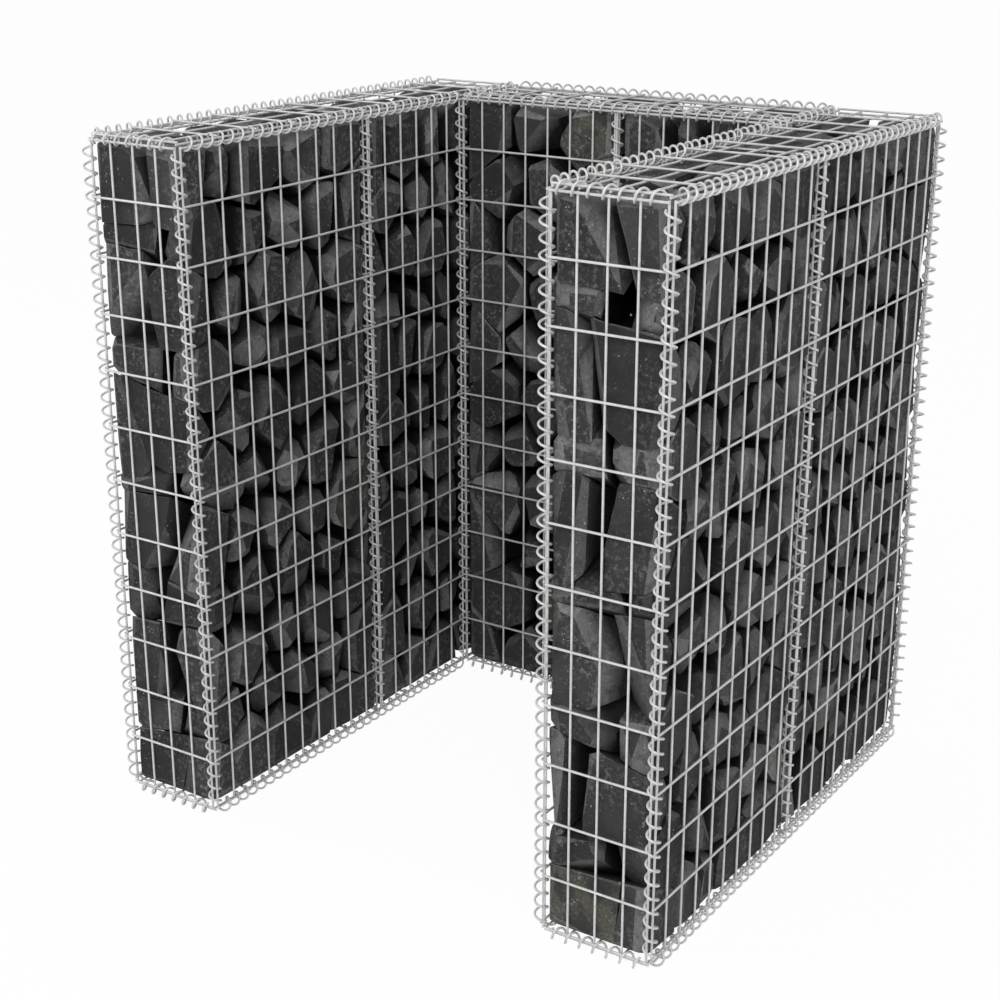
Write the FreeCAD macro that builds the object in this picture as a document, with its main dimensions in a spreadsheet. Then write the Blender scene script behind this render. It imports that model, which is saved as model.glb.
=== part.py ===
import FreeCAD, Part
import math
import os
import random

import Sketcher
from FreeCAD import Placement, Rotation, Vector

# A gabion surround for a wheeled bin: a U of three filled walls, open to the
# front (-Y) and to the sky. Each wall is a long box of welded wire mesh, laced
# along its edges with spiral binders and packed with broken stone.
#
# The frame: +Z up, the open side to -Y, the origin on the ground under the
# middle of the whole basket. Millimetres.
#
# Every panel is cut on whole cells of the mesh, so the walls are sized by
# counting cells. A spiral makes a whole number of turns in each cell, so that
# its coils always pass between the wires that cross it.

doc = FreeCAD.newDocument("gabion_basket")

SHEET = (
    ("mesh_pitch", 50, "spacing of the line wires, the long way of a panel"),
    ("row_pitch", 100, "spacing of the cross wires up a wall"),
    ("rows", 12, "rows of cells in a wall's height"),
    ("wall_cells", 4, "cells through the thickness of a wall"),
    ("front_cells", 10, "cells along an arm, from its front end to its partition"),
    ("rear_cells", 6, "cells along an arm, from its partition to the back wall"),
    ("back_cells", 7, "cells along half of the back wall, between the arms"),
    ("lid_cross_cells", 2, "line wire spacings from one cross wire of a lid to the next"),
    ("wire_diameter", 4, "mesh wire"),
    ("weld_depth", 0.5, "how far a cross wire sinks into the line wires at a weld"),
    ("spiral_wire", 4, "binder wire"),
    ("spiral_radius", 10.5, "middle of the binder wire from the axis of its spiral"),
    ("turns_per_cell", 2, "turns of a level spiral in one mesh_pitch"),
    ("turns_per_row", 4, "turns of an upright spiral in one row_pitch"),
    ("wire_clearance", 0.3, "between wires that pass each other, and under the stones"),
    ("spiral_end_gap", 16, "from a corner of the basket to the end of a spiral"),
    ("stone_length", 98, "usual stone, along its wall"),
    ("stone_height", 109, "usual stone, upright"),
    ("stone_gap", 0.3, "between the faces of two stones"),
    ("stone_clearance", 1, "between the stones and the wires of the walls"),
    ("stone_headroom", 3, "between the stones and the wires of the lid"),
    ("stone_seed", 11, "picks one packing of the stones"),
)

sizes = doc.addObject("Spreadsheet::Sheet", "sizes")
for line, (alias, number, note) in enumerate(SHEET, start=1):
    sizes.set("A%d" % line, alias)
    sizes.set("B%d" % line, str(number))
    sizes.set("C%d" % line, note)
    sizes.setAlias("B%d" % line, alias)
doc.recompute()


def value(rule):
    """The number that a rule gives, from the sizes in the sheet."""
    return float(sizes.evalExpression(rule))


def named(rule):
    """A rule in brackets, safe to use inside another rule."""
    return "(" + rule + ")"


# Rules for sizes that follow from the sheet, each written once. Features are
# bound to them, and placements are worked out from them.

WIRE_RADIUS = "sizes.wire_diameter / 2"
# Cross wires lie on the outer side of the line wires, this far from their plane.
CROSS_STEP = named("sizes.wire_diameter - sizes.weld_depth")
# The farthest that an edge wire may lie from the axis of the spiral round it.
EDGE_REACH = named(
    "sizes.spiral_radius - sizes.spiral_wire / 2 - sizes.wire_diameter / 2"
    " - sizes.wire_clearance"
)
# From the corner line to a panel's edge line wire, and to its edge cross wire.
CORNER_INSET = EDGE_REACH
ROW_INSET = named("sqrt(%s ^ 2 - %s ^ 2)" % (EDGE_REACH, CROSS_STEP))
# In the corners of the bay two panels have their cross wires on the same side.
# Those of the back panels start here, beside the cross wires of the arms' panels.
BAY_CORNER_START = named("%s + %s + sizes.wire_clearance" % (CROSS_STEP, WIRE_RADIUS))
# Where two panels meet in one plane, their edge wires lie side by side.
BUTT_INSET = named("sizes.wire_diameter / 2 + sizes.wire_clearance / 2")
# The spiral of such a joint also holds a partition, so it sits inside the wall.
JOINT_DEPTH = named("sqrt(%s ^ 2 - %s ^ 2)" % (EDGE_REACH, BUTT_INSET))
PARTITION_INSET = named(JOINT_DEPTH + " + " + EDGE_REACH)

# A binder is drawn with a square section of the same area as its round wire.
BINDER_SIDE = named("sizes.spiral_wire * sqrt(pi) / 2")
LEVEL_PITCH = named("sizes.mesh_pitch / sizes.turns_per_cell")
UPRIGHT_PITCH = named("sizes.row_pitch / sizes.turns_per_row")
LID_CROSS_PITCH = named("sizes.mesh_pitch * sizes.lid_cross_cells")

WALL_HEIGHT = named("sizes.rows * sizes.row_pitch")
WALL_THICKNESS = named("sizes.wall_cells * sizes.mesh_pitch")
FRONT_LENGTH = named("sizes.front_cells * sizes.mesh_pitch")
REAR_INNER_LENGTH = named("sizes.rear_cells * sizes.mesh_pitch")
INNER_LENGTH = named(FRONT_LENGTH + " + " + REAR_INNER_LENGTH)
DEPTH = named(INNER_LENGTH + " + " + WALL_THICKNESS)
HALF_BACK_LENGTH = named("sizes.back_cells * sizes.mesh_pitch")
BACK_LENGTH = named("2 * " + HALF_BACK_LENGTH)


def origin_plane(body, role):
    """One of a body's own three origin planes."""
    for feature in body.Origin.OriginFeatures:
        if feature.Role == role:
            return feature
    raise ValueError("no origin plane " + role)


def new_sketch(body, name, role, start_rule="0"):
    """A sketch on an origin plane, moved off it by the start rule."""
    sketch = body.newObject("Sketcher::SketchObject", name)
    sketch.AttachmentSupport = [(origin_plane(body, role), "")]
    sketch.MapMode = "FlatFace"
    sketch.setExpression("AttachmentOffset.Base.z", start_rule)
    return sketch


def bind(sketch, constraint, rule):
    """Add a distance or radius to a sketch and bind it to its rule."""
    number = sketch.addConstraint(constraint)
    sketch.setExpression("Constraints[%d]" % number, rule)


def add_wire_circle(sketch, x_rule, y_rule):
    """The section of one mesh wire, its middle placed by two rules."""
    middle = Vector(value(x_rule), value(y_rule), 0)
    radius = value(WIRE_RADIUS)
    circle = sketch.addGeometry(Part.Circle(middle, Vector(0, 0, 1), radius), False)
    bind(sketch, Sketcher.Constraint("Radius", circle, radius), WIRE_RADIUS)
    bind(sketch, Sketcher.Constraint("DistanceX", -1, 1, circle, 3, middle.x), x_rule)
    if y_rule == "0":
        sketch.addConstraint(Sketcher.Constraint("PointOnObject", circle, 3, -1))
    else:
        bind(sketch, Sketcher.Constraint("DistanceY", -1, 1, circle, 3, middle.y), y_rule)


def pad_wires(body, name, sketch, length_rule):
    """Draw the wires of a sketch out to their length."""
    pad = body.newObject("PartDesign::Pad", name)
    pad.Profile = sketch
    pad.setExpression("Length", length_rule)
    body.Tip = pad
    return pad


def repeat_wire(body, name, pad, sketch, axis, count_rule, pitch_rule):
    """Repeat one wire at a pitch, and make the pattern the body's result."""
    pattern = body.newObject("PartDesign::LinearPattern", name)
    pattern.Originals = [pad]
    pattern.Direction = (sketch, [axis])
    pattern.setExpression("Occurrences", count_rule)
    pattern.setExpression("Length", "(%s - 1) * %s" % (count_rule, pitch_rule))
    body.Tip = pattern


def panel_template(name, cells, height, row_pitch, left_inset, right_inset, cross_start=None):
    """A welded mesh panel, standing on X with its outer side to -Y.

    Its nominal rectangle runs from the origin to the cells' width and the
    height. Inner wires lie on the lattice, and the edge wires are set in.
    Cross wires end flush with the edge wires, unless they start elsewhere.
    """
    body = doc.addObject("PartDesign::Body", name)
    body.AllowCompound = True
    width = named("%s * sizes.mesh_pitch" % cells)
    line_start = named("%s - %s" % (ROW_INSET, WIRE_RADIUS))
    line_length = named("%s - 2 * %s" % (height, line_start))
    cross_start = cross_start or named("%s - %s" % (left_inset, WIRE_RADIUS))
    cross_end = named("%s - %s + %s" % (width, right_inset, WIRE_RADIUS))
    cross_length = named("%s - %s" % (cross_end, cross_start))
    cross_y = "-" + CROSS_STEP

    edge_lines = new_sketch(body, name + "_edge_lines", "XY_Plane", line_start)
    add_wire_circle(edge_lines, left_inset, "0")
    add_wire_circle(edge_lines, "%s - %s" % (width, right_inset), "0")
    pad_wires(body, name + "_edge_line_wires", edge_lines, line_length)

    first_line = new_sketch(body, name + "_first_line", "XY_Plane", line_start)
    add_wire_circle(first_line, "sizes.mesh_pitch", "0")
    line = pad_wires(body, name + "_line_wire", first_line, line_length)
    doc.recompute()
    line_count = named("%s - 1" % cells)
    repeat_wire(body, name + "_line_wires", line, first_line, "H_Axis", line_count,
                "sizes.mesh_pitch")
    doc.recompute()

    edge_crosses = new_sketch(body, name + "_edge_crosses", "YZ_Plane", cross_start)
    add_wire_circle(edge_crosses, cross_y, ROW_INSET)
    add_wire_circle(edge_crosses, cross_y, "%s - %s" % (height, ROW_INSET))
    pad_wires(body, name + "_edge_cross_wires", edge_crosses, cross_length)

    first_cross = new_sketch(body, name + "_first_cross", "YZ_Plane", cross_start)
    add_wire_circle(first_cross, cross_y, row_pitch)
    cross = pad_wires(body, name + "_cross_wire", first_cross, cross_length)
    doc.recompute()
    cross_count = named("round(%s / %s) - 1" % (height, row_pitch))
    repeat_wire(body, name + "_cross_wires", cross, first_cross, "V_Axis", cross_count,
                row_pitch)
    doc.recompute()
    return body


def spiral_template(name, edge_length, pitch):
    """A left-hand spiral binder for an edge, winding up +Z from X = radius."""
    body = doc.addObject("PartDesign::Body", name)
    sketch = new_sketch(body, name + "_section", "XZ_Plane")
    side = value(BINDER_SIDE)
    low = Vector(value("sizes.spiral_radius") - side / 2, -side / 2, 0)
    corners = (low, low + Vector(side, 0, 0), low + Vector(side, side, 0), low + Vector(0, side, 0))
    for corner in range(4):
        start = corners[corner]
        end = corners[(corner + 1) % 4]
        sketch.addGeometry(Part.LineSegment(start, end), False)
    for corner in range(4):
        following = (corner + 1) % 4
        sketch.addConstraint(Sketcher.Constraint("Coincident", corner, 2, following, 1))
        direction = "Horizontal" if corner % 2 == 0 else "Vertical"
        sketch.addConstraint(Sketcher.Constraint(direction, corner))
    bind(sketch, Sketcher.Constraint("DistanceX", 0, 1, 0, 2, side), BINDER_SIDE)
    bind(sketch, Sketcher.Constraint("DistanceY", 1, 1, 1, 2, side), BINDER_SIDE)
    bind(sketch, Sketcher.Constraint("DistanceX", -1, 1, 0, 1, low.x),
         "sizes.spiral_radius - %s / 2" % BINDER_SIDE)
    bind(sketch, Sketcher.Constraint("DistanceY", -1, 1, 0, 1, low.y), "-%s / 2" % BINDER_SIDE)

    helix = body.newObject("PartDesign::AdditiveHelix", name + "_coils")
    helix.Profile = sketch
    helix.ReferenceAxis = (sketch, ["V_Axis"])
    helix.Mode = 0
    helix.LeftHanded = True
    helix.setExpression("Pitch", pitch)
    helix.setExpression("Height", "%s - 2 * sizes.spiral_end_gap" % edge_length)
    body.Tip = helix
    doc.recompute()
    return body


def placed_copy(template, label, placement):
    """A body that repeats a template in a place of its own."""
    body = doc.addObject("PartDesign::Body", label)
    base = doc.addObject("PartDesign::FeatureBase", label + "_base")
    body.addObject(base)
    base.BaseFeature = template
    body.Tip = base
    body.Placement = placement
    body.Label = label
    return body


# Places that the walls and their joints share, worked out from the rules.

HALF_WIDTH = value(HALF_BACK_LENGTH) + value(WALL_THICKNESS)
INNER_X = value(HALF_BACK_LENGTH)
FRONT_Y = -value(DEPTH) / 2
PARTITION_Y = FRONT_Y + value(FRONT_LENGTH)
BAY_BACK_Y = FRONT_Y + value(INNER_LENGTH)
BACK_Y = value(DEPTH) / 2
# The basket stands on the coils round its bottom edges.
FLOOR_Z = value("sizes.spiral_radius + %s / 2" % BINDER_SIDE)
TOP_Z = FLOOR_Z + value(WALL_HEIGHT)
# The spiral of a joint in the middle of a wall sits this far inside its face.
JOINT_IN = value(JOINT_DEPTH)

X = Vector(1, 0, 0)
Y = Vector(0, 1, 0)
Z = Vector(0, 0, 1)

parts = {}


def add_panel(template, label, corner, across, outward):
    """Place a panel: its low corner, the way that its width runs, its outer side."""
    along = across.cross(-outward)
    turn = Rotation(across, -outward, along, "XYZ")
    parts[label] = placed_copy(template, label, Placement(corner, turn))


def upright_corner(x, y, across, outward):
    """The corner where an upright panel starts: its foot, or its top if turned over."""
    level = FLOOR_Z if across.cross(-outward).z > 0 else TOP_Z
    return Vector(x, y, level)


def add_wall_panel(template, label, x, y, across, outward):
    add_panel(template, label, upright_corner(x, y, across, outward), across, outward)


front_side = panel_template("front_side_mesh", "sizes.front_cells", WALL_HEIGHT,
                            "sizes.row_pitch", CORNER_INSET, BUTT_INSET)
rear_outer = panel_template("rear_outer_mesh", "(sizes.rear_cells + sizes.wall_cells)",
                            WALL_HEIGHT, "sizes.row_pitch", CORNER_INSET, BUTT_INSET)
rear_inner = panel_template("rear_inner_mesh", "sizes.rear_cells", WALL_HEIGHT,
                            "sizes.row_pitch", CORNER_INSET, BUTT_INSET)
half_back = panel_template("half_back_mesh", "sizes.back_cells", WALL_HEIGHT,
                           "sizes.row_pitch", CORNER_INSET, BUTT_INSET, BAY_CORNER_START)
wall_end = panel_template("wall_end_mesh", "sizes.wall_cells", WALL_HEIGHT,
                          "sizes.row_pitch", CORNER_INSET, CORNER_INSET)
partition = panel_template("partition_mesh", "sizes.wall_cells", WALL_HEIGHT,
                           "sizes.row_pitch", PARTITION_INSET, PARTITION_INSET)
arm_lid = panel_template("arm_lid_mesh", "sizes.wall_cells", DEPTH,
                         LID_CROSS_PITCH, CORNER_INSET, CORNER_INSET)
back_lid = panel_template("back_lid_mesh", "sizes.wall_cells", BACK_LENGTH,
                          LID_CROSS_PITCH, CORNER_INSET, CORNER_INSET)

for side, sign in (("left", -1), ("right", 1)):
    out = X * sign
    outer_x = sign * HALF_WIDTH
    inner_x = sign * INNER_X
    low_x = min(outer_x, inner_x)
    add_wall_panel(front_side, side + "_outer_front_panel", outer_x, FRONT_Y, Y, out)
    add_wall_panel(rear_outer, side + "_outer_rear_panel", outer_x, BACK_Y, -Y, out)
    add_wall_panel(front_side, side + "_inner_front_panel", inner_x, FRONT_Y, Y, -out)
    add_wall_panel(rear_inner, side + "_inner_rear_panel", inner_x, BAY_BACK_Y, -Y, -out)
    add_wall_panel(wall_end, side + "_front_end_panel", low_x, FRONT_Y, X, -Y)
    add_wall_panel(wall_end, side + "_back_end_panel", inner_x, BACK_Y, out, Y)
    add_wall_panel(partition, side + "_arm_partition", low_x, PARTITION_Y, X, -Y)
    add_wall_panel(wall_end, side + "_junction_partition", inner_x, BAY_BACK_Y, Y, -out)
    add_panel(arm_lid, side + "_arm_lid", Vector(low_x, FRONT_Y, TOP_Z), X, Z)
    add_panel(arm_lid, side + "_arm_base", Vector(low_x, BACK_Y, FLOOR_Z), X, -Z)
    add_wall_panel(half_back, "back_outer_%s_panel" % side, inner_x, BACK_Y, -out, Y)
    add_wall_panel(half_back, "back_inner_%s_panel" % side, inner_x, BAY_BACK_Y, -out, -Y)

add_wall_panel(partition, "back_partition", 0, BAY_BACK_Y, Y, X)
add_panel(back_lid, "back_lid", Vector(-INNER_X, BACK_Y, TOP_Z), -Y, Z)
add_panel(back_lid, "back_base", Vector(-INNER_X, BAY_BACK_Y, FLOOR_Z), Y, -Z)


# The spirals. A crossing is a vector from a spiral's axis to where a mesh wire
# passes through its coils. All such wires lie on the lattice, so there each
# coil is turned to the middle of the widest space between the crossings.

COIL_RADIUS = value("sizes.spiral_radius")
STEP = value(CROSS_STEP)
# Along a cross wire, and beside it, where it passes through the coils.
REACH = math.sqrt(COIL_RADIUS ** 2 - STEP ** 2)
# A joint's cross wires graze its coils as far round as this.
GRAZE_OUT = JOINT_IN + STEP - value(WIRE_RADIUS)
GRAZE_SIDE = math.sqrt((COIL_RADIUS + value("sizes.spiral_wire / 2")) ** 2 - GRAZE_OUT ** 2)


def free_direction(axis, crossings):
    """The way from the axis to the middle of the widest space between crossings."""
    first = crossings[0].normalize()
    second = axis.cross(first)
    full = 2 * math.pi
    angles = sorted(math.atan2(c.dot(second), c.dot(first)) % full for c in crossings)
    spaces = []
    for number, angle in enumerate(angles):
        following = angles[(number + 1) % len(angles)]
        spaces.append(((following - angle) % full or full, angle))
    width, start = max(spaces)
    middle = start + width / 2
    return first * math.cos(middle) + second * math.sin(middle)


spiral_edges = []


def add_spiral(template, label, edge_start, axis, pitch, crossings):
    """Wind a spiral along an edge, clear of every wire that crosses its coils."""
    spiral_edges.append((edge_start, axis))
    gap = value("sizes.spiral_end_gap")
    free = free_direction(axis, crossings)
    start = Rotation(axis, -360 * gap / pitch).multVec(free)
    turn = Rotation(start, axis.cross(start), axis, "ZXY")
    return placed_copy(template, label, Placement(edge_start + axis * gap, turn))


def group(label, members):
    """Spirals that share one node, as separate solids."""
    compound = doc.addObject("Part::Compound", label)
    compound.Links = members
    compound.Label = label
    parts[label] = compound


upright_spiral = spiral_template("upright_spiral", WALL_HEIGHT, UPRIGHT_PITCH)
outer_spiral = spiral_template("outer_edge_spiral", DEPTH, LEVEL_PITCH)
inner_spiral = spiral_template("inner_edge_spiral", INNER_LENGTH, LEVEL_PITCH)
end_spiral = spiral_template("end_edge_spiral", WALL_THICKNESS, LEVEL_PITCH)
back_spiral = spiral_template("back_edge_spiral", BACK_LENGTH, LEVEL_PITCH)


def upright(label, x, y, crossings):
    return add_spiral(upright_spiral, label, Vector(x, y, FLOOR_Z), Z,
                      value(UPRIGHT_PITCH), crossings)


def level(template, label, start, axis, crossings):
    return add_spiral(template, label, start, axis, value(LEVEL_PITCH), crossings)


def cross_wire_at(along, outward):
    """Where a panel's cross wires pass through the coils at its edge."""
    return along * REACH + outward * STEP


def line_wire_at(along):
    """Where a panel's line wires pass through the coils at its edge."""
    return along * COIL_RADIUS


def joint_wires(outward, along_face, partition_outward):
    """Where the wires of a joint in the middle of a wall pass through its coils."""
    return [
        outward * GRAZE_OUT + along_face * GRAZE_SIDE,
        outward * GRAZE_OUT - along_face * GRAZE_SIDE,
        cross_wire_at(-outward, partition_outward),
    ]


for side, sign in (("left", -1), ("right", 1)):
    out = X * sign
    outer_x = sign * HALF_WIDTH
    inner_x = sign * INNER_X
    group(side + "_front_corner_spirals", [
        upright(side + "_front_outer_spiral", outer_x, FRONT_Y,
                [cross_wire_at(Y, out), cross_wire_at(-out, -Y)]),
        upright(side + "_front_inner_spiral", inner_x, FRONT_Y,
                [cross_wire_at(Y, -out), cross_wire_at(out, -Y)]),
    ])
    group(side + "_partition_spirals", [
        upright(side + "_partition_outer_spiral", outer_x - sign * JOINT_IN, PARTITION_Y,
                joint_wires(out, Y, -Y)),
        upright(side + "_partition_inner_spiral", inner_x + sign * JOINT_IN, PARTITION_Y,
                joint_wires(-out, Y, -Y)),
    ])
    group(side + "_rear_corner_spirals", [
        upright(side + "_rear_outer_spiral", outer_x, BACK_Y,
                [cross_wire_at(-Y, out), cross_wire_at(-out, Y)]),
        upright(side + "_rear_junction_spiral", inner_x, BACK_Y,
                [cross_wire_at(out, Y), cross_wire_at(-out, Y), cross_wire_at(-Y, -out)]),
        upright(side + "_bay_corner_spiral", inner_x, BAY_BACK_Y,
                [cross_wire_at(-Y, -out), cross_wire_at(Y, -out), cross_wire_at(-out, -Y)]),
    ])

group("back_partition_spirals", [
    upright("back_partition_outer_spiral", 0, BACK_Y - JOINT_IN, joint_wires(Y, X, X)),
    upright("back_partition_inner_spiral", 0, BAY_BACK_Y + JOINT_IN, joint_wires(-Y, X, X)),
])

for height_name, edge_z, up in (("top", TOP_Z, Z), ("bottom", FLOOR_Z, -Z)):
    wall = line_wire_at(-up)
    for side, sign in (("left", -1), ("right", 1)):
        out = X * sign
        outer_x = sign * HALF_WIDTH
        inner_x = sign * INNER_X
        low_x = min(outer_x, inner_x)
        name = side + "_" + height_name
        group(name + "_outer_spiral", [
            level(outer_spiral, name + "_outer_coil", Vector(outer_x, FRONT_Y, edge_z), Y,
                  [wall, cross_wire_at(-out, up)]),
        ])
        group(name + "_inner_spiral", [
            level(inner_spiral, name + "_inner_coil", Vector(inner_x, FRONT_Y, edge_z), Y,
                  [wall, cross_wire_at(out, up)]),
        ])
        group(name + "_end_spirals", [
            level(end_spiral, name + "_front_coil", Vector(low_x, FRONT_Y, edge_z), X,
                  [wall, line_wire_at(Y)]),
            level(end_spiral, name + "_junction_coil", Vector(inner_x, BAY_BACK_Y, edge_z), Y,
                  [wall, cross_wire_at(out, up), line_wire_at(-out)]),
        ])
    group("back_%s_spirals" % height_name, [
        level(back_spiral, "back_%s_inner_coil" % height_name,
              Vector(-INNER_X, BAY_BACK_Y, edge_z), X, [wall, cross_wire_at(Y, up)]),
        level(back_spiral, "back_%s_outer_coil" % height_name,
              Vector(-INNER_X, BACK_Y, edge_z), X, [wall, cross_wire_at(-Y, up)]),
    ])


# The stones. Each bay between partitions is filled with blocks that reach through
# its wall, in staggered rows. A block is all of its bay that lies nearer to its
# own middle than to its neighbours' middles. Each is broken in two near the
# middle of the wall, and cut back from the spirals beside it. A block is a list
# of faces, each a loop of points.

STAGGER = 0.25
WANDER = 0.17
# How much distance counts each way in telling which middle is the nearest.
WEIGHT_ALONG = 1
WEIGHT_THROUGH = 0.35
WEIGHT_UP = 0.75
BREAK_SLOPE = 0.3
TINY_CUT = 0.05
SAME_POINT = 0.000001


def box_block(low, high):
    """The six faces of a box."""
    x0, y0, z0 = low
    x1, y1, z1 = high
    a, b, c, d = Vector(x0, y0, z0), Vector(x1, y0, z0), Vector(x1, y1, z0), Vector(x0, y1, z0)
    e, f, g, k = Vector(x0, y0, z1), Vector(x1, y0, z1), Vector(x1, y1, z1), Vector(x0, y1, z1)
    return [[a, d, c, b], [e, f, g, k], [a, b, f, e], [b, c, g, f], [c, d, k, g], [d, a, e, k]]


def corners_of(block):
    """The corner points of a block, each once."""
    found = []
    for face in block:
        add_new_points(face, found)
    return found


def add_new_points(points, found):
    """Add to a list the points that it doesn't hold yet."""
    for point in points:
        if all((point - other).Length > SAME_POINT for other in found):
            found.append(point)


def order_round(points, normal):
    """Points of one flat face, put in order round its middle."""
    middle = sum(points, Vector()) * (1 / len(points))
    first = (points[0] - middle).normalize()
    second = normal.cross(first)
    return sorted(points, key=lambda p: math.atan2((p - middle).dot(second),
                                                   (p - middle).dot(first)))


def cut_block(block, normal, distance):
    """The part of a block on the near side of a plane."""
    if max(point.dot(normal) for point in corners_of(block)) < distance + TINY_CUT:
        return block
    kept = []
    rim = []
    for face in block:
        beyond = [point.dot(normal) - distance for point in face]
        loop = []
        for number, point in enumerate(face):
            following = (number + 1) % len(face)
            here = beyond[number]
            there = beyond[following]
            if here <= 0:
                loop.append(point)
            if here * there < 0:
                crossing = point + (face[following] - point) * (here / (here - there))
                loop.append(crossing)
                add_new_points([crossing], rim)
        if len(loop) > 2:
            kept.append(loop)
    if len(rim) > 2:
        kept.append(order_round(rim, normal))
    return kept


def block_middles(low, high, along, chance):
    """Where the blocks of a bay sit: staggered rows, a little uneven."""
    usual = {"x": value(WALL_THICKNESS), "y": value(WALL_THICKNESS),
             "z": value("sizes.stone_height")}
    usual[along] = value("sizes.stone_length")
    counts = [max(1, round((high[a] - low[a]) / usual["xyz"[a]])) for a in range(3)]
    middles = []
    for i in range(counts[0]):
        for j in range(counts[1]):
            for k in range(counts[2]):
                share = [n + 0.5 + chance.uniform(-WANDER, WANDER) for n in (i, j, k)]
                share["xyz".index(along)] += STAGGER if k % 2 else -STAGGER
                middles.append(Vector(*[low[a] + (high[a] - low[a]) * share[a] / counts[a]
                                        for a in range(3)]))
    return middles


def block_round(middle, middles, block, weights):
    """The part of a bay that is nearer to one middle than to the others."""
    half_gap = value("sizes.stone_gap") / 2
    for other in sorted(middles, key=lambda point: (point - middle).Length)[1:]:
        arm = other - middle
        normal = Vector(*[arm[a] * weights[a] for a in range(3)]).normalize()
        block = cut_block(block, normal, (middle + arm / 2).dot(normal) - half_gap)
    return block


def break_block(block, middle, through, chance):
    """Two stones out of one block, either side of a sloping break."""
    half_gap = value("sizes.stone_gap") / 2
    slope = Vector(*[chance.uniform(-BREAK_SLOPE, BREAK_SLOPE) for _ in range(3)])
    normal = (through + slope).normalize()
    distance = middle.dot(normal)
    return [cut_block(block, normal, distance - half_gap),
            cut_block(block, -normal, -distance - half_gap)]


def cut_back(block):
    """Cut a stone back from each spiral that runs past it."""
    clear = value("sizes.spiral_radius + sizes.spiral_wire / 2 + sizes.stone_clearance")
    points = corners_of(block)
    middle = sum(points, Vector()) * (1 / len(points))
    for edge_start, axis in spiral_edges:
        arm = edge_start - middle
        arm = arm - axis * arm.dot(axis)
        if arm.Length < value(WALL_THICKNESS):
            normal = arm * (1 / arm.Length)
            block = cut_block(block, normal, edge_start.dot(normal) - clear)
    return block


def stone_solid(block):
    """A closed solid with the faces of a block."""
    faces = []
    for loop in block:
        faces.append(Part.Face(Part.makePolygon(loop + [loop[0]])))
    solid = Part.Solid(Part.Shell(faces))
    if solid.Volume < 0:
        solid.reverse()
    return solid


# The stones lie against the line wires of the panels round them. The cross
# wires of a partition stand in the bay on its outer side.
LINE_SIDE = value(WIRE_RADIUS + " + sizes.stone_clearance")
CROSS_SIDE = LINE_SIDE + STEP
STONES_BOTTOM = FLOOR_Z + value(WIRE_RADIUS + " + sizes.wire_clearance")
STONES_TOP = TOP_Z - value(WIRE_RADIUS + " + sizes.stone_headroom")


def add_stones(label, x_range, y_range, along):
    """Fill one bay with stones; along says which way its wall runs."""
    low = (min(x_range), min(y_range), STONES_BOTTOM)
    high = (max(x_range), max(y_range), STONES_TOP)
    if along == "x":
        through = Y
        weights = (WEIGHT_ALONG, WEIGHT_THROUGH, WEIGHT_UP)
    else:
        through = X
        weights = (WEIGHT_THROUGH, WEIGHT_ALONG, WEIGHT_UP)
    chance = random.Random("%s %d" % (label, int(value("sizes.stone_seed"))))
    middles = block_middles(low, high, along, chance)
    stones = []
    for middle in middles:
        block = block_round(middle, middles, box_block(low, high), weights)
        for stone in break_block(block, middle, through, chance):
            stones.append(stone_solid(cut_back(stone)))
    feature = doc.addObject("Part::Feature", label)
    feature.Shape = Part.makeCompound(stones)
    feature.Label = label
    parts[label] = feature


arm_front = (FRONT_Y + LINE_SIDE, PARTITION_Y - CROSS_SIDE)
arm_rear = (PARTITION_Y + LINE_SIDE, BACK_Y - LINE_SIDE)
back_depth = (BAY_BACK_Y + LINE_SIDE, BACK_Y - LINE_SIDE)
for side, sign in (("left", -1), ("right", 1)):
    arm_width = (sign * (INNER_X + LINE_SIDE), sign * (HALF_WIDTH - LINE_SIDE))
    add_stones(side + "_front_stones", arm_width, arm_front, "y")
    add_stones(side + "_rear_stones", arm_width, arm_rear, "y")
add_stones("back_left_stones", (CROSS_SIDE - INNER_X, -LINE_SIDE), back_depth, "x")
add_stones("back_right_stones", (CROSS_SIDE, INNER_X - CROSS_SIDE), back_depth, "x")

doc.recompute()

for item in doc.Objects:
    for state in item.State:
        if state in ("Invalid", "Error"):
            raise RuntimeError("%s did not build: %s" % (item.Name, state))

for label, item in parts.items():
    if item.Shape.isNull() or not item.Shape.isValid():
        raise RuntimeError(label + " has no valid shape")
    if not item.Shape.Solids:
        raise RuntimeError(label + " has no solid")

os.makedirs("parts", exist_ok=True)
for label, item in parts.items():
    item.Shape.exportStep(os.path.join("parts", label + ".step"))
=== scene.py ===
import math
import random

import bmesh
import bpy
import numpy as np
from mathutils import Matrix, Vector


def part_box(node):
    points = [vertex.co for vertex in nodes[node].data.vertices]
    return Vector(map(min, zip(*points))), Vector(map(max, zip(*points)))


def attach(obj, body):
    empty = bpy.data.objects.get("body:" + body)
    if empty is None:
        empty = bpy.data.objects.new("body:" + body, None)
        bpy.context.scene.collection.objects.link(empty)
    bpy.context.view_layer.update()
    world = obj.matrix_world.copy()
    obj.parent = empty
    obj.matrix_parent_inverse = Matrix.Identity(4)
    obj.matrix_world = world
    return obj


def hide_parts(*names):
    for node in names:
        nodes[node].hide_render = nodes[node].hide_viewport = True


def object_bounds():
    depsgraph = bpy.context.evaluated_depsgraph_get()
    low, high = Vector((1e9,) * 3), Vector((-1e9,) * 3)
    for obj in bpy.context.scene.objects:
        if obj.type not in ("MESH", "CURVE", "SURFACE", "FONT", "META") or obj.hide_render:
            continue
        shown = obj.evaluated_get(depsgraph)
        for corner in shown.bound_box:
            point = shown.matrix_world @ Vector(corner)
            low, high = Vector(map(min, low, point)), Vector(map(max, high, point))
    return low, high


# The looks of a gabion surround: galvanised welded mesh laced with spiral
# binders, and the broken stone inside it. Metres, in the model's own frame.

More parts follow.
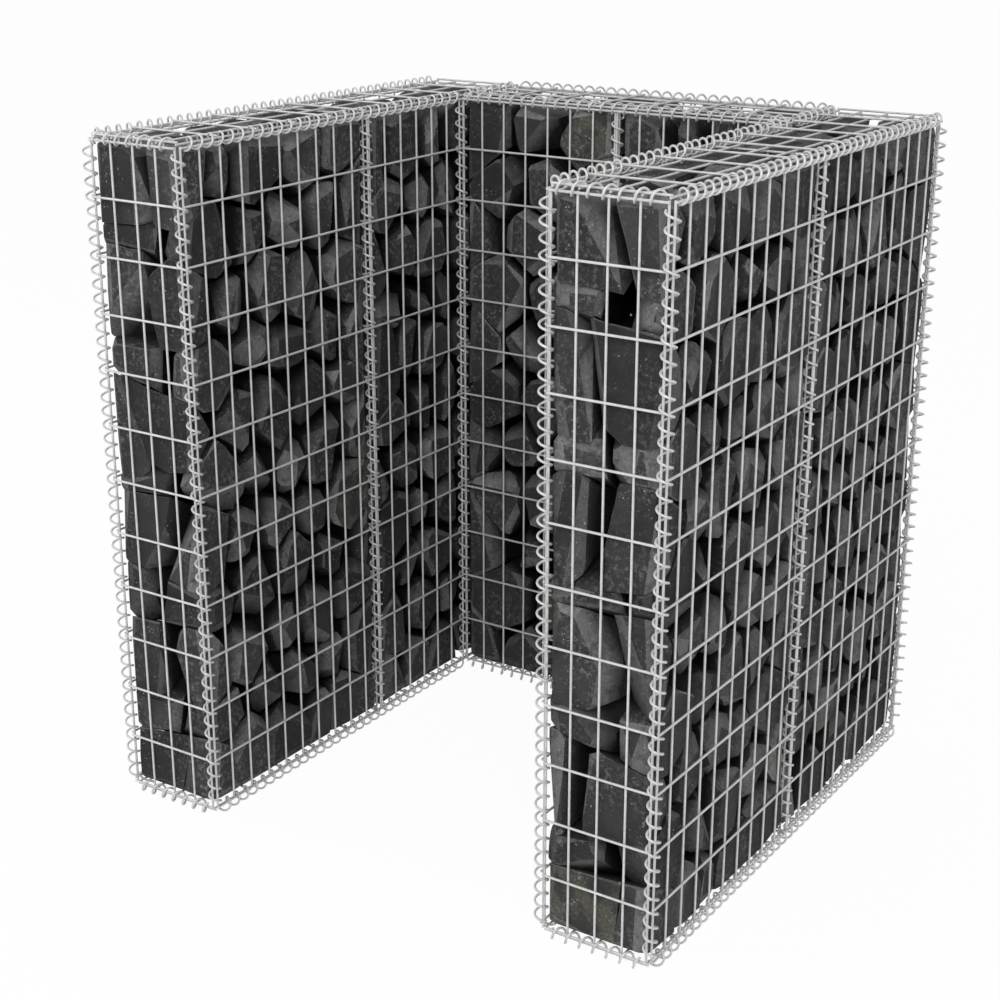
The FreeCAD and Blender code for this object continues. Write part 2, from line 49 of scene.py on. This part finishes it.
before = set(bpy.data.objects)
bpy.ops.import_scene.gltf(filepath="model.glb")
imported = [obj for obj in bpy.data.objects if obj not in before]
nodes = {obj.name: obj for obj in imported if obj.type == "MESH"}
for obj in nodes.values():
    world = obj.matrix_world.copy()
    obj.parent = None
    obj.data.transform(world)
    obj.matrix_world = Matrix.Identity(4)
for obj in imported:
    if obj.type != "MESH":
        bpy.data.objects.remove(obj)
cad_box = [list(corner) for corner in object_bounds()]

BODY = "root"


# The camera, where the photograph's own stood.

CAMERA_PLACE = (1.6928, -2.6511, 1.6312)
CAMERA_AZIMUTH = 33.476
CAMERA_DROP = 19.261
CAMERA_LENS_MM = 65.05
SENSOR_MM = 36


def add_camera():
    """A camera that looks down on the open side of the basket."""
    azimuth = math.radians(CAMERA_AZIMUTH)
    drop = math.radians(CAMERA_DROP)
    ahead = Vector((-math.sin(azimuth) * math.cos(drop),
                    math.cos(azimuth) * math.cos(drop), -math.sin(drop)))
    data = bpy.data.cameras.new("camera")
    data.sensor_width = SENSOR_MM
    data.lens = CAMERA_LENS_MM
    camera = bpy.data.objects.new("camera", data)
    camera.location = CAMERA_PLACE
    camera.rotation_mode = "QUATERNION"
    camera.rotation_quaternion = ahead.to_track_quat("-Z", "Y")
    bpy.context.scene.collection.objects.link(camera)
    bpy.context.scene.camera = camera


# Materials, all made of nodes.

class Nodes:
    """A material's node tree, with short calls to add and link nodes."""

    def __init__(self, name):
        self.material = bpy.data.materials.new(name)
        self.material.use_nodes = True
        self.tree = self.material.node_tree
        self.shader = self.tree.nodes["Principled BSDF"]
        self.output = self.tree.nodes["Material Output"]

    def add(self, kind, **settings):
        """A new node; a setting is one of its properties or the name of a socket."""
        node = self.tree.nodes.new(kind)
        for name, value in settings.items():
            if hasattr(node, name):
                setattr(node, name, value)
            else:
                self.feed(node.inputs[name], value)
        return node

    def feed(self, socket, value):
        """Set a socket to a number or colour, or link it to another node's output."""
        if isinstance(value, bpy.types.NodeSocket):
            self.tree.links.new(value, socket)
        else:
            socket.default_value = value

    def place(self):
        """The point on the object, in metres."""
        return self.add("ShaderNodeTexCoord").outputs["Object"]

    def noise(self, size, detail, roughness=0.5):
        """Noise from 0 to 1 whose features are about this size, in metres."""
        node = self.add("ShaderNodeTexNoise", Vector=self.place(), Scale=1 / size,
                        Detail=detail, Roughness=roughness)
        return node.outputs["Fac"]

    def spread(self, value, low, high, to_low=0.0, to_high=1.0):
        """A value's range from low to high, spread over another and held inside it."""
        node = self.add("ShaderNodeMapRange", clamp=True)
        for socket, number in zip(node.inputs, (value, low, high, to_low, to_high)):
            self.feed(socket, number)
        return node.outputs["Result"]

    def maths(self, operation, first, second):
        """One operation on two numbers."""
        node = self.add("ShaderNodeMath", operation=operation)
        self.feed(node.inputs[0], first)
        self.feed(node.inputs[1], second)
        return node.outputs["Value"]

    def mix(self, share, first, second, blend="MIX"):
        """Two colours mixed, or blended with each other."""
        node = self.add("ShaderNodeMix", data_type="RGBA", blend_type=blend)
        self.feed(node.inputs[0], share)
        self.feed(node.inputs[6], first)
        self.feed(node.inputs[7], second)
        return node.outputs[2]

    def attribute(self, name):
        """A number that the mesh holds."""
        return self.add("ShaderNodeAttribute", attribute_name=name).outputs["Fac"]

    def bump(self, height, depth, strength, normal=None):
        """Relief of this depth in metres, on top of another relief if there is one."""
        node = self.add("ShaderNodeBump", Strength=strength, Distance=depth)
        self.feed(node.inputs["Height"], height)
        if normal:
            self.feed(node.inputs["Normal"], normal)
        return node.outputs["Normal"]


def grey(level, warmth=0.0):
    """A near-grey colour, a little warmer or cooler."""
    return (level * (1 + warmth), level, level * (1 - warmth), 1.0)


# Nearly all of a noise's values lie in this span.
NOISE_SPAN = (0.3, 0.7)

# Galvanised wire: sizes in metres, then shares and levels.
SPANGLE_SIZE = 0.006
PATCH_SIZE = 0.03
PATCH_SPAN = (0.35, 0.7)
PATCH_GLOSS_SPAN = (0.3, 0.75)
PIT_SIZE = 0.0012
PIT_DEPTH = 0.0001
PIT_STRENGTH = 0.6
SPANGLE_LEVELS = (0.9, 1.06)
PATCH_LEVEL = 0.84
ZINC_METALLIC = 0.4
ZINC_ROUGHNESS = (0.45, 0.62)
MESH_LEVEL = 0.7
BINDER_LEVEL = 0.67


def galvanised(name, level):
    """Zinc on drawn wire: satin, with faint spangle, dull patches and fine pits."""
    m = Nodes(name)
    spangle = m.add("ShaderNodeTexVoronoi", Vector=m.place(), Scale=1 / SPANGLE_SIZE)
    tone = m.spread(spangle.outputs["Color"], 0, 1, *SPANGLE_LEVELS)
    patches = m.noise(PATCH_SIZE, 4, 0.6)
    dull = grey(level * PATCH_LEVEL, 0.01)
    base = m.mix(m.spread(patches, *PATCH_SPAN), grey(level), dull)
    base = m.mix(1.0, base, tone, "MULTIPLY")
    roughness = m.spread(patches, *PATCH_GLOSS_SPAN, *ZINC_ROUGHNESS)
    pits = m.bump(m.noise(PIT_SIZE, 3, 0.6), PIT_DEPTH, PIT_STRENGTH)
    m.feed(m.shader.inputs["Base Color"], base)
    m.feed(m.shader.inputs["Roughness"], roughness)
    m.feed(m.shader.inputs["Normal"], pits)
    m.shader.inputs["Metallic"].default_value = ZINC_METALLIC
    return m.material


# Broken basalt: colours, sizes in metres, and spans of noise where a feature sets in.
ROCK_DARK = grey(0.024)
ROCK_PALER = grey(0.042, 0.01)
OLIVE_DARK = (0.05, 0.049, 0.038, 1)
OLIVE_PALE = (0.1, 0.097, 0.07, 1)
MOTTLE = grey(0.16, 0.02)
# The pale colour of the painted highlight on the broken edges.
EDGE_HIGHLIGHT = grey(0.19, 0.01)
SPECK = grey(0.42)
CLOUD_SIZE = 0.05
GRAIN_SIZE = 0.004
# The few stones whose tone is above this carry an olive stain.
STAINED_TONE = (0.965, 0.97)
STAIN_SHARE = 0.65
STAIN_SPAN = (0.47, 0.56)
MOTTLED_AREA = 0.13
MOTTLED_AREA_SPAN = (0.42, 0.57)
MOTTLE_SIZE = 0.009
MOTTLE_SPAN = (0.5, 0.66)
MOTTLE_SHARE = 0.8
# The painted highlight on the broken edges, in patches: their size, the span of noise where
# they set in, and their strength.
EDGE_HIGHLIGHT_SIZE = 0.02
EDGE_HIGHLIGHT_SPAN = (0.25, 0.5)
EDGE_HIGHLIGHT_SHARE = 0.85
GRAIN_LEVELS = (0.72, 1.3)
TONE_SPAN = (0, 0.95)
TONE_LEVELS = (0.56, 1.24)
SPECK_SIZE = 0.005
SPECK_SPAN = (0.62, 0.68)
CLUSTER_SIZE = 0.03
CLUSTER_SPAN = (0.48, 0.6)
SPECK_SHARE = 0.8
# Painted shade: rock darkens between these depths in the wall, where the stones shade each
# other.
PAINTED_SHADE_DEPTHS = (0.007, 0.03)
PAINTED_SHADE_LEVELS = (1, 0.06)
ROCK_ROUGHNESS = (0.72, 0.92)
ROCK_SPECULAR = 0.3
LUMP_SIZE = 0.016
LUMP_DEPTH = 0.005
LUMP_STRENGTH = 0.85
GRAIN_DEPTH = 0.0009
GRAIN_STRENGTH = 0.7


def broken_rock(name):
    """Dark basalt: charcoal faces, painted highlights on the broken edges, mottling, pale
    grains, a stain or two.
    """
    m = Nodes(name)
    tone = m.attribute("stone_tone")
    painted_highlight = m.attribute("stone_painted_highlight")
    clouds = m.noise(CLOUD_SIZE, 6, 0.6)
    grain = m.noise(GRAIN_SIZE, 4, 0.65)
    dark = m.mix(m.spread(clouds, *NOISE_SPAN), ROCK_DARK, ROCK_PALER)
    olive = m.mix(m.spread(grain, *NOISE_SPAN), OLIVE_DARK, OLIVE_PALE)
    stained = m.maths("MULTIPLY", m.spread(tone, *STAINED_TONE, 0, STAIN_SHARE),
                      m.spread(clouds, *STAIN_SPAN))
    base = m.mix(stained, dark, olive)
    mottled = m.maths("MULTIPLY", m.spread(m.noise(MOTTLED_AREA, 2), *MOTTLED_AREA_SPAN),
                      m.spread(m.noise(MOTTLE_SIZE, 5, 0.7), *MOTTLE_SPAN))
    base = m.mix(m.maths("MULTIPLY", mottled, MOTTLE_SHARE), base, MOTTLE)
    # Painted highlight: the faces of the broken edges are paled in patches.
    highlighted = m.maths("MULTIPLY", painted_highlight, m.spread(m.noise(EDGE_HIGHLIGHT_SIZE, 5, 0.65), *EDGE_HIGHLIGHT_SPAN))
    base = m.mix(m.maths("MULTIPLY", highlighted, EDGE_HIGHLIGHT_SHARE), base, EDGE_HIGHLIGHT)
    base = m.mix(1.0, base, m.spread(grain, *NOISE_SPAN, *GRAIN_LEVELS), "MULTIPLY")
    base = m.mix(1.0, base, m.spread(tone, *TONE_SPAN, *TONE_LEVELS), "MULTIPLY")
    specks = m.maths("MULTIPLY", m.spread(m.noise(SPECK_SIZE, 3, 0.7), *SPECK_SPAN),
                     m.spread(m.noise(CLUSTER_SIZE, 3), *CLUSTER_SPAN))
    base = m.mix(m.maths("MULTIPLY", specks, SPECK_SHARE), base, SPECK)
    # Painted shade: the rock's colour darkens deeper in the wall.
    deep = m.spread(m.attribute("stone_deep"), *PAINTED_SHADE_DEPTHS, *PAINTED_SHADE_LEVELS)
    base = m.mix(1.0, base, deep, "MULTIPLY")
    lumps = m.bump(m.noise(LUMP_SIZE, 6, 0.64), LUMP_DEPTH, LUMP_STRENGTH)
    m.feed(m.shader.inputs["Base Color"], base)
    m.feed(m.shader.inputs["Roughness"], m.spread(grain, *NOISE_SPAN, *ROCK_ROUGHNESS))
    m.feed(m.shader.inputs["Normal"], m.bump(grain, GRAIN_DEPTH, GRAIN_STRENGTH, lumps))
    m.shader.inputs["Specular IOR Level"].default_value = ROCK_SPECULAR
    return m.material


# What the frame's solids hold: the places of their points, solid by solid.

SAME_POINT = 0.00001


def solids_of(node):
    """The points of each separate solid of a CAD node."""
    mesh = nodes[node].data
    points = np.empty(len(mesh.vertices) * 3)
    mesh.vertices.foreach_get("co", points)
    points = points.reshape(-1, 3)
    mesh.calc_loop_triangles()
    corners = np.empty(len(mesh.loop_triangles) * 3, np.int32)
    mesh.loop_triangles.foreach_get("vertices", corners)
    cells = np.round(points / SAME_POINT).astype(np.int64)
    cells, first, place = np.unique(cells, axis=0, return_index=True, return_inverse=True)
    corners = place.reshape(-1)[corners].reshape(-1, 3)
    label = np.arange(len(cells))
    while True:
        lowest = label[corners].min(axis=1)
        found = label.copy()
        np.minimum.at(found, corners.ravel(), np.repeat(lowest, 3))
        found = found[found]
        if (found == label).all():
            break
        label = found
    points = points[first]
    return [points[label == one] for one in np.unique(label)]


def add_piece(name, mesh, material, node):
    """Show a finished mesh as the piece that stands for a CAD node."""
    mesh.materials.append(material)
    piece = bpy.data.objects.new(name, mesh)
    bpy.context.scene.collection.objects.link(piece)
    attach(piece, BODY)
    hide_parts(node)


# The spiral binders, in round wire. They wind to the left.

BINDER_WIRE = 0.004
COIL_RADIUS = 0.0105
COIL_PITCH = 0.025
TURN = -2 * math.pi / COIL_PITCH
# Half the side of the square that has the wire's area, which the CAD's coil has.
HALF_SIDE = BINDER_WIRE * math.sqrt(math.pi) / 4
COIL_STEPS = 16
WIRE_SIDES = 8
CAP_ANGLE = math.radians(50)


def coil_rings(points):
    """The rings of points round a binder's wire, from the points of its solid."""
    low = points.min(axis=0)
    high = points.max(axis=0)
    middle = (low + high) / 2
    along = int(np.argmax(high - low))
    axes = np.eye(3)
    axis = axes[along]
    first = axes[(along + 1) % 3]
    second = axes[(along + 2) % 3]
    start = low[along] + HALF_SIDE
    length = high[along] - HALF_SIDE - start
    arm = points - middle
    seen = np.arctan2(arm @ second, arm @ first)
    wound = TURN * (points[:, along] - start)
    phase = np.angle(np.exp(1j * (seen - wound)).mean())

    steps = round(length / COIL_PITCH * COIL_STEPS)
    share = np.linspace(0, 1, steps + 1)[:, None]
    angle = phase + TURN * length * share
    outward = np.cos(angle) * first + np.sin(angle) * second
    tangent = TURN * COIL_RADIUS * (np.cos(angle) * second - np.sin(angle) * first) + axis
    tangent /= np.linalg.norm(tangent, axis=1)[:, None]
    beside = np.cross(tangent, outward)
    line = middle * (1 - axis) + axis * (start + length * share) + outward * COIL_RADIUS
    around = np.arange(WIRE_SIDES) * 2 * math.pi / WIRE_SIDES
    spokes = (np.cos(around)[None, :, None] * outward[:, None]
              + np.sin(around)[None, :, None] * beside[:, None])
    return line[:, None] + BINDER_WIRE / 2 * spokes


def ring_faces(rings, offset):
    """Quads between rings that follow one another, and the two cut ends."""
    count = rings.shape[0]
    faces = []
    for ring in range(count - 1):
        here = offset + ring * WIRE_SIDES
        there = here + WIRE_SIDES
        for side in range(WIRE_SIDES):
            following = (side + 1) % WIRE_SIDES
            faces.append((here + side, here + following, there + following, there + side))
    last = offset + (count - 1) * WIRE_SIDES
    faces.append(tuple(offset + side for side in reversed(range(WIRE_SIDES))))
    faces.append(tuple(last + side for side in range(WIRE_SIDES)))
    return faces


def add_binders(node, material):
    """The spirals of one node as round wire."""
    points = []
    faces = []
    for solid in solids_of(node):
        rings = coil_rings(solid)
        faces += ring_faces(rings, sum(len(one) for one in points))
        points.append(rings.reshape(-1, 3))
    mesh = bpy.data.meshes.new(node + "_wire")
    mesh.from_pydata(np.concatenate(points).tolist(), [], faces)
    mesh.shade_smooth()
    mesh.set_sharp_from_angle(angle=CAP_ANGLE)
    add_piece(node + "_wire", mesh, material, node)


# The stones: each solid's block, parted here and there from its neighbours, with
# its edges broken and a rough surface. Low and high are the corners of their bay.

# A face or point of a stone that is this near to a side of the bay lies outside.
OUTSIDE_FACE = 0.011
OUTSIDE_POINT = 0.002
# What a side, and a corner between two sides, lose at the mesh; they lose nothing
# deep inside the wall. Sides that reach in less than LEAST_REACH stay.
SIDE_LOSS = (0.001, 0.009)
DEEP_LOSS = (0.012, 0.024)
CORNER_LOSS = (0.004, 0.02)
DEEP_CHANCE = 0.32
SIDE_SCATTER = 0.05
LEAST_REACH = 0.05
# Sides that come this near to an upright corner or to the foot of a wall stay, and
# rims lose only a share there, so that no light shows through.
CORNER_NEAR = 0.03
CORNER_RIM_SHARE = 0.3
# The rims, which are a stone's edges along the mesh.
RIM_BREAK = (0.002, 0.01)
DEEP_RIM = (0.01, 0.02)
RIM_SCATTER = 0.3
BREAK_CHANCE = 0.85
# The strength of the painted highlight on each new edge face, drawn at random.
HIGHLIGHT_STRENGTHS = (0.3, 1)
SHARP_EDGE = math.radians(25)
FLAT = math.radians(1)
# The longest edges of the finished mesh, near the outside of the bay and within.
FINE_STEP = 0.015
COARSE_STEP = 0.045
FINE_DEPTH = 0.03
SPLIT_TURNS = 6
# The size and depth of each layer of roughness.
ROUGHNESS = ((0.05, 0.0016), (0.018, 0.0007))
# By an edge of its bay, up to the first of these depths, a stone has only a share of
# that roughness, and from the second on it has all of it. No light shows through so.
CORNER_DEPTHS = (0.03, 0.1)
CORNER_SHARE = 0.12
# Deep in the wall, where nobody sees its surface, a stone is nearly smooth.
INNER_DEPTHS = (0.045, 0.075)
INNER_SHARE = 0.06
SHARP_FACET = math.radians(32)
# What mixes the bits of a cell's number until they look random.
CELL_FACTORS = (73856093, 19349663, 83492791)
MIXING_SHIFT = 13
MIXING_FACTOR = 1274126177
MIXING_MASK = 0x7FFFFFFF
LEVELS = 65536


def break_off(bm, normal, distance):
    """Cut a block by a plane, and close it; gives the new face."""
    everything = bm.verts[:] + bm.edges[:] + bm.faces[:]
    cut = bmesh.ops.bisect_plane(bm, geom=everything, plane_co=normal * distance,
                                 plane_no=normal, clear_outer=True)
    rim = [e for e in cut["geom_cut"] if isinstance(e, bmesh.types.BMEdge)]
    if len(rim) < 3:
        return []
    return bmesh.ops.contextual_create(bm, geom=rim)["faces"]


def scattered(normal, scatter, chance):
    """A direction turned a random little."""
    aside = Vector([chance.uniform(-scatter, scatter) for _ in range(3)])
    return (normal.normalized() + aside).normalized()


def is_outside(face, low, high):
    """Whether a face of a stone lies against the mesh or along a spiral."""
    middle = face.calc_center_median()
    return any(min(middle[a] - low[a], high[a] - middle[a]) < OUTSIDE_FACE for a in range(3))


def way_out(bm, low, high):
    """The direction in which a stone lies against the sides of its bay."""
    way = Vector()
    for a in range(3):
        if min(v.co[a] for v in bm.verts) - low[a] < OUTSIDE_POINT:
            way[a] -= 1
        if high[a] - max(v.co[a] for v in bm.verts) < OUTSIDE_POINT:
            way[a] += 1
    return way.normalized()


def at_corner(points, low, high):
    """Whether any of these points is by an upright corner or at the foot of the bay."""
    for point in points:
        gaps = (min(point.x - low[0], high[0] - point.x),
                min(point.y - low[1], high[1] - point.y), point.z - low[2])
        if sum(gap < CORNER_NEAR for gap in gaps) > 1:
            return True
    return False


def sharp_edges(bm, low, high):
    """Each sharp edge's ends, outward direction, and whether it lies at the mesh."""
    edges = []
    for edge in bm.edges:
        if edge.calc_face_angle(0) > SHARP_EDGE:
            ends = [v.co.copy() for v in edge.verts]
            outward = sum((face.normal for face in edge.link_faces), Vector())
            at_mesh = any(is_outside(face, low, high) for face in edge.link_faces)
            edges.append((ends, outward, at_mesh))
    return edges


def wedge_off(bm, points, outward, out, loss, chance):
    """Slope a side or corner back, by its loss at the mesh and nothing deep inside."""
    inmost = min(points, key=lambda point: point.dot(out))
    reach = max(point.dot(out) for point in points) - inmost.dot(out)
    if reach > LEAST_REACH:
        slope = outward.normalized() + out * (chance.uniform(*loss) / reach)
        normal = scattered(slope, SIDE_SCATTER, chance)
        break_off(bm, normal, inmost.dot(normal))


def part_stones(bm, low, high, out, chance):
    """Part a stone from its neighbours where they meet the mesh."""
    sides = [([v.co.copy() for v in face.verts], face.normal.copy())
             for face in bm.faces if not is_outside(face, low, high)]
    corners = [(ends, outward) for ends, outward, at_mesh in sharp_edges(bm, low, high)
               if not at_mesh]
    for points, outward in sides:
        loss = DEEP_LOSS if chance.random() < DEEP_CHANCE else SIDE_LOSS
        if not at_corner(points, low, high):
            wedge_off(bm, points, outward, out, loss, chance)
    for points, outward in corners:
        if not at_corner(points, low, high):
            wedge_off(bm, points, outward, out, CORNER_LOSS, chance)


def break_rims(bm, painted_highlight, low, high, chance):
    """Break the edges along the mesh into rough chamfers of uneven width, each with a painted
    highlight of random strength.
    """
    for ends, outward, at_mesh in sharp_edges(bm, low, high):
        if at_mesh:
            share = CORNER_RIM_SHARE if at_corner(ends, low, high) else 1
            normal = scattered(outward, RIM_SCATTER * share, chance)
            breaks = DEEP_RIM if chance.random() < DEEP_CHANCE else RIM_BREAK
            depth = chance.uniform(*breaks) * share
            if chance.random() < BREAK_CHANCE:
                middle = (ends[0] + ends[1]) / 2
                for face in break_off(bm, normal, middle.dot(normal) - depth):
                    face[painted_highlight] = chance.uniform(*HIGHLIGHT_STRENGTHS)


def refine(bm, low, high):
    """Split long edges, finely near the outside of the bay and coarsely inside."""
    bmesh.ops.triangulate(bm, faces=bm.faces[:])
    for _ in range(SPLIT_TURNS):
        long_edges = []
        for edge in bm.edges:
            middle = (edge.verts[0].co + edge.verts[1].co) / 2
            depth = min(min(middle[a] - low[a], high[a] - middle[a]) for a in range(3))
            step = FINE_STEP if depth < FINE_DEPTH else COARSE_STEP
            if edge.calc_length() > step:
                long_edges.append(edge)
        if not long_edges:
            return
        bmesh.ops.subdivide_edges(bm, edges=long_edges, cuts=1)
        bmesh.ops.triangulate(bm, faces=[f for f in bm.faces if len(f.verts) > 3])


def value_noise(points, size):
    """Smooth noise from -1 to 1 whose features are about this size."""
    place = points / size
    cell = np.floor(place).astype(np.int64)
    inside = place - cell
    blend = inside * inside * (3 - 2 * inside)
    total = np.zeros(len(points))
    for corner in range(8):
        step = np.array([corner & 1, corner >> 1 & 1, corner >> 2])
        key = (cell + step) @ np.array(CELL_FACTORS)
        key = (key ^ (key >> MIXING_SHIFT)) * MIXING_FACTOR & MIXING_MASK
        number = (key % LEVELS) / (LEVELS / 2) - 1
        weight = np.where(step == 1, blend, 1 - blend).prod(axis=1)
        total += number * weight
    return total


def roughen(mesh, low, high):
    """Push the surface in a little along its normals, and note how deep it lies."""
    points = np.empty(len(mesh.vertices) * 3)
    normals = np.empty(len(mesh.vertices) * 3)
    mesh.vertices.foreach_get("co", points)
    mesh.vertex_normals.foreach_get("vector", normals)
    points = points.reshape(-1, 3)
    normals = normals.reshape(-1, 3)
    push = sum(depth * (value_noise(points, size) - 1) for size, depth in ROUGHNESS)
    depths = np.minimum(points - np.array(low), np.array(high) - points)
    push *= np.interp(np.sort(depths, axis=1)[:, 1], CORNER_DEPTHS, (CORNER_SHARE, 1))
    push *= np.interp(depths.min(axis=1), INNER_DEPTHS, (1, INNER_SHARE))
    points += normals * push[:, None]
    mesh.vertices.foreach_set("co", points.ravel())
    mesh.update()
    deep = mesh.attributes.new("stone_deep", "FLOAT", "POINT")
    deep.data.foreach_set("value", depths.min(axis=1))


def stone_block(points, low, high, chance):
    """One broken stone from the corners of its solid."""
    bm = bmesh.new()
    tone = bm.faces.layers.float.new("stone_tone")
    painted_highlight = bm.faces.layers.float.new("stone_painted_highlight")
    for point in points:
        bm.verts.new(point)
    bmesh.ops.convex_hull(bm, input=bm.verts[:])
    bmesh.ops.dissolve_limit(bm, angle_limit=FLAT, verts=bm.verts[:], edges=bm.edges[:])
    bm.normal_update()
    part_stones(bm, low, high, way_out(bm, low, high), chance)
    bm.normal_update()
    break_rims(bm, painted_highlight, low, high, chance)
    refine(bm, low, high)
    own_tone = chance.random()
    for face in bm.faces:
        face[tone] = own_tone
    return bm


def add_stones(node, material):
    """The stones of one bay, as broken rock."""
    chance = random.Random(node)
    low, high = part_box(node)
    whole = bmesh.new()
    mesh = bpy.data.meshes.new(node + "_rock")
    part = bpy.data.meshes.new(node + "_part")
    for points in solids_of(node):
        bm = stone_block(points, low, high, chance)
        bm.to_mesh(part)
        bm.free()
        whole.from_mesh(part)
    bmesh.ops.recalc_face_normals(whole, faces=whole.faces[:])
    whole.to_mesh(mesh)
    whole.free()
    bpy.data.meshes.remove(part)
    roughen(mesh, low, high)
    mesh.shade_smooth()
    mesh.set_sharp_from_angle(angle=SHARP_FACET)
    add_piece(node + "_rock", mesh, material, node)


# The studio: a pale floor, a white surround and soft lamps.

FLOOR_SIZE = 60
FLOOR_COLOUR = (0.9, 0.9, 0.9, 1)
FLOOR_ROUGHNESS = 0.9
# The share of the lit floor, and so of the shadow, that the camera sees.
FLOOR_SHADOW = 0.04
WORLD_LIGHT = 0.62
WHITE = (1, 1, 1, 1)
# Each lamp's name, place, side in metres and power in watts.
LAMPS = (
    ("key", (1.8, -3.2, 3.6), 2.2, 102),
    ("fill", (-3.4, -1.6, 2.4), 2.5, 45),
)


def add_floor():
    """A pale floor that the camera sees as white, apart from a faint shadow."""
    m = Nodes("floor_paint")
    m.shader.inputs["Base Color"].default_value = FLOOR_COLOUR
    m.shader.inputs["Roughness"].default_value = FLOOR_ROUGHNESS
    paper = m.add("ShaderNodeEmission", Color=WHITE, Strength=1.0)
    path = m.add("ShaderNodeLightPath")
    seen = m.maths("MAXIMUM", path.outputs["Is Camera Ray"], path.outputs["Is Glossy Ray"])
    share = m.maths("MULTIPLY", seen, 1 - FLOOR_SHADOW)
    mixed = m.add("ShaderNodeMixShader")
    m.feed(mixed.inputs[0], share)
    m.feed(mixed.inputs[1], m.shader.outputs["BSDF"])
    m.feed(mixed.inputs[2], paper.outputs["Emission"])
    m.feed(m.output.inputs["Surface"], mixed.outputs["Shader"])
    mesh = bpy.data.meshes.new("floor")
    half = FLOOR_SIZE / 2
    mesh.from_pydata([(-half, -half, 0), (half, -half, 0), (half, half, 0), (-half, half, 0)],
                     [], [(0, 1, 2, 3)])
    mesh.materials.append(m.material)
    floor = bpy.data.objects.new("floor", mesh)
    bpy.context.scene.collection.objects.link(floor)


def add_world():
    """Even light from all round, which the camera sees as white, also through glass."""
    world = bpy.data.worlds.new("studio")
    world.use_nodes = True
    tree = world.node_tree
    back = tree.nodes["Background"]
    back.inputs["Color"].default_value = WHITE
    path = tree.nodes.new("ShaderNodeLightPath")
    seen = tree.nodes.new("ShaderNodeMath")
    seen.operation = "MAXIMUM"
    tree.links.new(path.outputs["Is Camera Ray"], seen.inputs[0])
    tree.links.new(path.outputs["Is Transmission Ray"], seen.inputs[1])
    level = tree.nodes.new("ShaderNodeMapRange")
    tree.links.new(seen.outputs["Value"], level.inputs["Value"])
    level.inputs["To Min"].default_value = WORLD_LIGHT
    level.inputs["To Max"].default_value = 1
    tree.links.new(level.outputs["Result"], back.inputs["Strength"])
    bpy.context.scene.world = world


def add_lamp(name, place, size, power):
    """A square soft lamp, turned to the middle of the basket."""
    data = bpy.data.lights.new(name, "AREA")
    data.shape = "SQUARE"
    data.size = size
    data.energy = power
    lamp = bpy.data.objects.new(name, data)
    lamp.location = place
    low, high = (Vector(corner) for corner in cad_box)
    lamp.rotation_mode = "QUATERNION"
    lamp.rotation_quaternion = ((low + high) / 2 - lamp.location).to_track_quat("-Z", "Y")
    bpy.context.scene.collection.objects.link(lamp)


add_camera()
add_world()
add_floor()
for lamp in LAMPS:
    add_lamp(*lamp)

mesh_wire = galvanised("galvanised_mesh", MESH_LEVEL)
binder_wire = galvanised("galvanised_binder", BINDER_LEVEL)
rock = broken_rock("broken_basalt")

for node, thing in nodes.items():
    if node.endswith("_stones"):
        add_stones(node, rock)
    elif "_spiral" in node:
        add_binders(node, binder_wire)
    else:
        thing.data.materials.clear()
        thing.data.materials.append(mesh_wire)

bpy.context.scene.view_settings.view_transform = "Standard"
